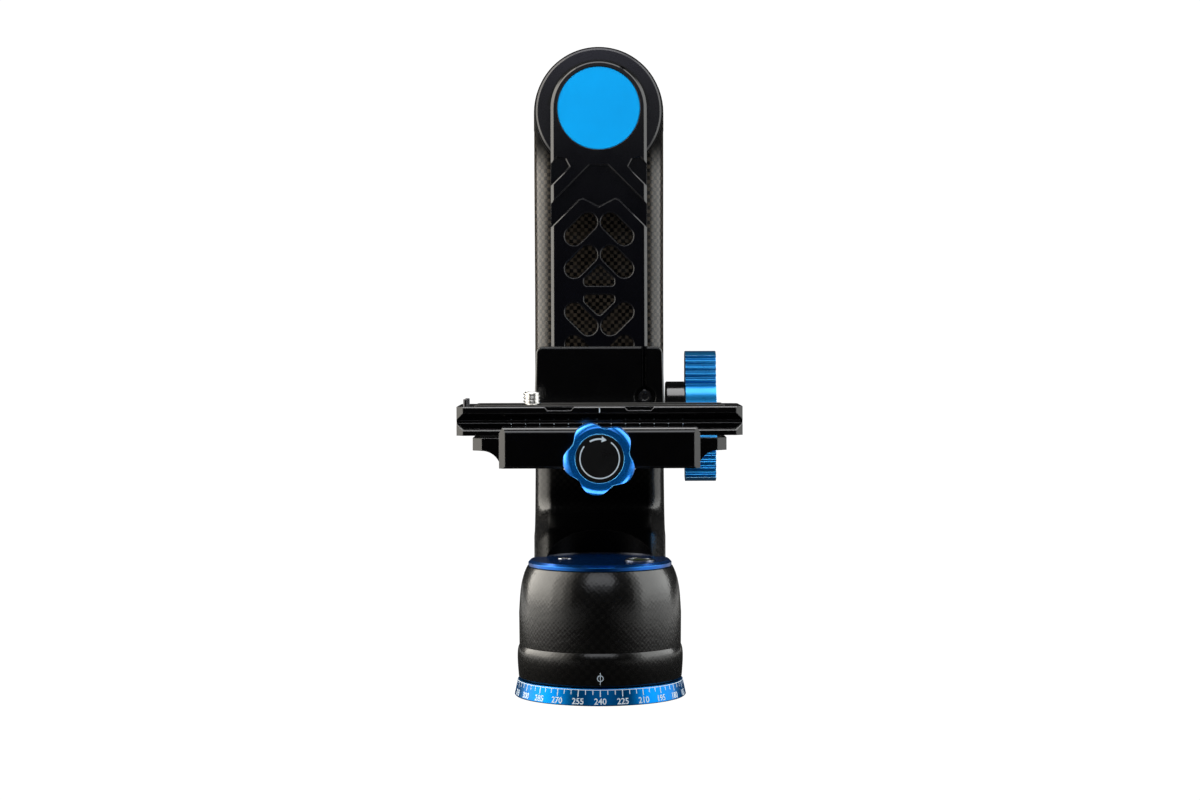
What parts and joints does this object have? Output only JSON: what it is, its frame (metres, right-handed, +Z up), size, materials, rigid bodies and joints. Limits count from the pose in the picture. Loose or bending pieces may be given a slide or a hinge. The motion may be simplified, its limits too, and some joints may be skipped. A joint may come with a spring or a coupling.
{
  "type": "gimbal tripod head",
  "caption": "Side-mount gimbal head: graduated panning base, C-shaped carbon arm, hanging swing arm with height-adjustable quick-release clamp and lens plate.",
  "frame": {"origin": "centre of the base's underside, on the pan axis, at the mouth of the tripod socket", "axes": "+Z up along the pan axis, +Y from the lens platform towards the carbon arm, +X towards the height lock knob"},
  "size_m": [0.1, 0.1373, 0.2366],
  "materials": {
    "carbon_fibre": "woven carbon fibre, satin clear coat",
    "blue_anodised": "anodised, satin",
    "black_anodised": "anodised, satin",
    "black_gloss": "gloss black",
    "badge_blue": "matt enamel",
    "steel": "machined steel",
    "bearing_steel": "polished bearing steel",
    "bronze": "bearing bronze",
    "rubber": "moulded rubber",
    "vial": "clear vial with green fluid",
    "nylon": "black acetal"
  },
  "bodies": {
    "base": {"base_spindle": "black_anodised", "scale_ring": "blue_anodised", "scale_ring_screws": "steel", "pan_bearing_inner_rings": "bearing_steel", "pan_bearing_balls": "bearing_steel", "pan_bearing_spacer": "steel", "pan_retaining_nut": "steel"},
    "frame": {"drum_core": "black_anodised", "pan_bearing_outer_rings": "bearing_steel", "drum_skirt": "carbon_fibre", "carbon_frame": "carbon_fibre", "drum_cap": "blue_anodised", "cap_screws": "steel", "level_ring": "steel", "level_vial": "vial", "pan_lock_bush": "steel", "tilt_hub": "black_anodised", "tilt_bearing_outer_rings": "bearing_steel", "hub_rear_cover": "black_anodised", "rear_cover_screws": "steel"},
    "pan_lock": {"pan_lock_stud": "steel", "pan_knob": "blue_anodised"},
    "pan_brake": {"pan_brake_shoe": "nylon"},
    "tilt_lock": {"tilt_lock_stud": "steel", "tilt_knob_collar": "black_anodised", "tilt_knob": "blue_anodised"},
    "tilt_brake": {"tilt_brake_pad": "bronze"},
    "swing": {"tilt_spindle": "steel", "tilt_bearing_inner_rings": "bearing_steel", "tilt_bearing_balls": "bearing_steel", "tilt_spacer": "steel", "tilt_spindle_nut": "steel", "swing_arm": "black_anodised", "swing_arm_bolt": "steel", "arm_badge": "badge_blue", "height_stop_plate": "black_anodised", "stop_plate_screws": "steel"},
    "carriage": {"carriage_block": "black_gloss", "relief_screw": "steel", "clamp_body": "black_gloss", "clamp_mounting_screws": "steel", "clamp_guide_pins": "steel", "clamp_springs": "steel"},
    "height_lock": {"height_lock_stud": "steel", "height_knob_collar": "black_gloss", "height_knob": "blue_anodised", "height_knob_cap": "black_anodised"},
    "height_brake": {"height_brake_pad": "bronze"},
    "front_jaw": {"front_jaw": "black_gloss"},
    "clamp_knob": {"clamp_screw": "steel", "clamp_knob": "blue_anodised", "clamp_knob_cap": "black_anodised"},
    "plate": {"lens_plate": "black_gloss", "plate_pads": "rubber", "plate_lens_pins": "steel", "plate_stop_screws": "steel"},
    "screw_washer": {"camera_screw_washer": "steel"},
    "camera_screw": {"camera_screw": "steel"}
  },
  "joints": [
    {"name": "pan", "type": "hinge", "parent": "base", "child": "frame", "pos_m": [0, 0, 0.02], "axis": [0, 0, 1], "continuous": true},
    {"name": "pan_lock_turn", "type": "hinge", "parent": "frame", "child": "pan_lock", "pos_m": [0, 0.04, 0.0115], "axis": [0, 1, 0], "range_deg": [0, 90]},
    {"name": "pan_brake_press", "type": "slide", "parent": "frame", "child": "pan_brake", "axis": [0, 1, 0], "range_m": [-0.0004, 0]},
    {"name": "tilt", "type": "hinge", "parent": "frame", "child": "swing", "pos_m": [0, 0.0435, 0.212], "axis": [0, 1, 0], "continuous": true},
    {"name": "tilt_lock_turn", "type": "hinge", "parent": "frame", "child": "tilt_lock", "pos_m": [0, 0.085, 0.212], "axis": [0, 1, 0], "range_deg": [0, 90]},
    {"name": "tilt_brake_press", "type": "slide", "parent": "frame", "child": "tilt_brake", "axis": [0, 1, 0], "range_m": [-0.0004, 0]},
    {"name": "height", "type": "slide", "parent": "swing", "child": "carriage", "axis": [0, 0, 1], "range_m": [0, 0.05]},
    {"name": "height_lock_turn", "type": "hinge", "parent": "carriage", "child": "height_lock", "pos_m": [0.0318, 0.0435, 0.0972], "axis": [1, 0, 0], "range_deg": [-90, 0]},
    {"name": "height_brake_press", "type": "slide", "parent": "carriage", "child": "height_brake", "axis": [1, 0, 0], "range_m": [-0.0004, 0]},
    {"name": "jaw_open", "type": "slide", "parent": "carriage", "child": "front_jaw", "axis": [0, -1, 0], "range_m": [0, 0.0041]},
    {"name": "clamp_knob_turn", "type": "hinge", "parent": "front_jaw", "child": "clamp_knob", "pos_m": [0, -0.037, 0.0858], "axis": [0, 1, 0], "range_deg": [-900, 0]},
    {"name": "plate_slide", "type": "slide", "parent": "carriage", "child": "plate", "axis": [1, 0, 0], "range_m": [-0.007, 0.007]},
    {"name": "screw_slide", "type": "slide", "parent": "plate", "child": "screw_washer", "axis": [1, 0, 0], "range_m": [-0.009, 0.008]},
    {"name": "camera_screw_turn", "type": "hinge", "parent": "screw_washer", "child": "camera_screw", "pos_m": [-0.024, 0, 0.1], "axis": [0, 0, 1], "continuous": true}
  ],
  "couplings": [
    {"joint": "pan_brake_press", "follows": "pan_lock_turn", "m_per_rad": -0.00019099},
    {"joint": "tilt_brake_press", "follows": "tilt_lock_turn", "m_per_rad": -0.00019099},
    {"joint": "height_brake_press", "follows": "height_lock_turn", "m_per_rad": 0.00019099},
    {"joint": "jaw_open", "follows": "clamp_knob_turn", "m_per_rad": -0.00025465}
  ]
}
